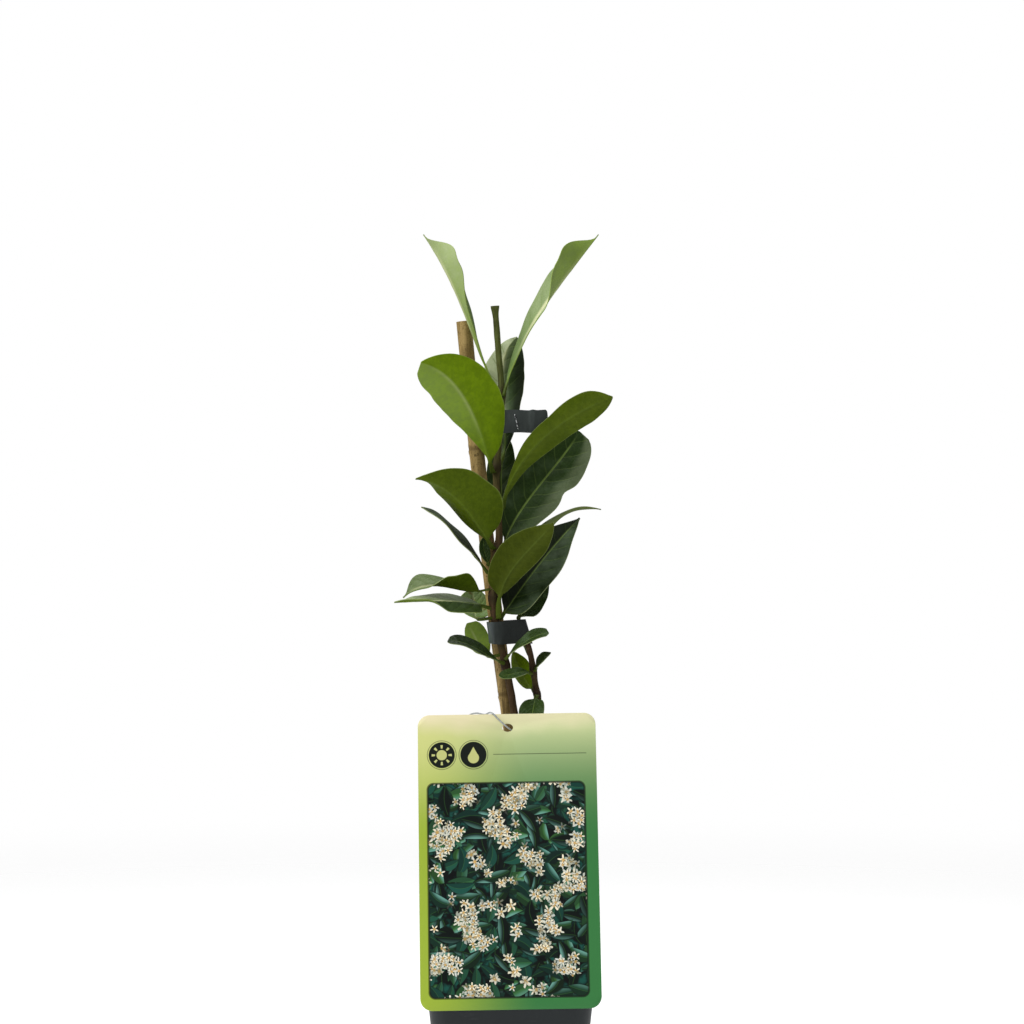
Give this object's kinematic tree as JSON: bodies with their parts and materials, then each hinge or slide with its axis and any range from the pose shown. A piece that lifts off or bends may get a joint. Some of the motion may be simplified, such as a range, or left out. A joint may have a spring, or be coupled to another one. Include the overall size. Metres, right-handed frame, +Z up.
{
  "type": "potted young star jasmine",
  "caption": "Young evergreen star jasmine climber with glossy oval leaves, tied to a bamboo cane in a square plastic nursery pot, with a plain hanging plant label.",
  "frame": {"origin": "centre of the pot's underside, on the surface it stands on", "axes": "+Z up along the pot's height, -Y towards the side that the label hangs on, +X to the right as seen from that side"},
  "size_m": [0.1103, 0.0975, 0.4628],
  "materials": {
    "pot_plastic": "dark anthracite moulded plastic, slightly satin",
    "soil_peat": "crumbly dark brown peat",
    "cane_bamboo": "dry tan bamboo with darker streaks",
    "stem_bark": "young brown and olive bark, speckled",
    "leaf_blade": "leathery, glossy dark green above and paler olive below",
    "tie_tape": "dark grey tying tape",
    "label_card": "printed plastic card, cream to green, with a framed flower picture",
    "loop_thread": "thin clear grey nylon"
  },
  "bodies": {
    "root": {"pot": "pot_plastic", "soil": "soil_peat", "cane": "cane_bamboo", "stem_main": "stem_bark", "stem_side": "stem_bark", "tie_upper": "tie_tape", "tie_lower": "tie_tape", "label": "label_card", "label_loop": "loop_thread", "leaf_crown_left": "leaf_blade", "leaf_crown_right": "leaf_blade", "leaf_back_upper": "leaf_blade", "leaf_front_upper": "leaf_blade", "leaf_back_middle": "leaf_blade", "leaf_front_right": "leaf_blade", "leaf_broad_right": "leaf_blade", "leaf_broad_left": "leaf_blade", "leaf_small_left": "leaf_blade", "leaf_slim_left": "leaf_blade", "leaf_slim_right": "leaf_blade", "leaf_front_middle": "leaf_blade", "leaf_glossy_right": "leaf_blade", "leaf_glossy_back": "leaf_blade", "leaf_curled_left": "leaf_blade", "leaf_long_left": "leaf_blade", "leaf_back_left": "leaf_blade", "leaf_low_back": "leaf_blade", "leaf_low_left": "leaf_blade", "leaf_low_right": "leaf_blade", "leaf_side_right": "leaf_blade", "leaf_side_left": "leaf_blade", "leaf_side_back": "leaf_blade", "leaf_side_inner": "leaf_blade", "leaf_hanging": "leaf_blade"}
  },
  "joints": []
}
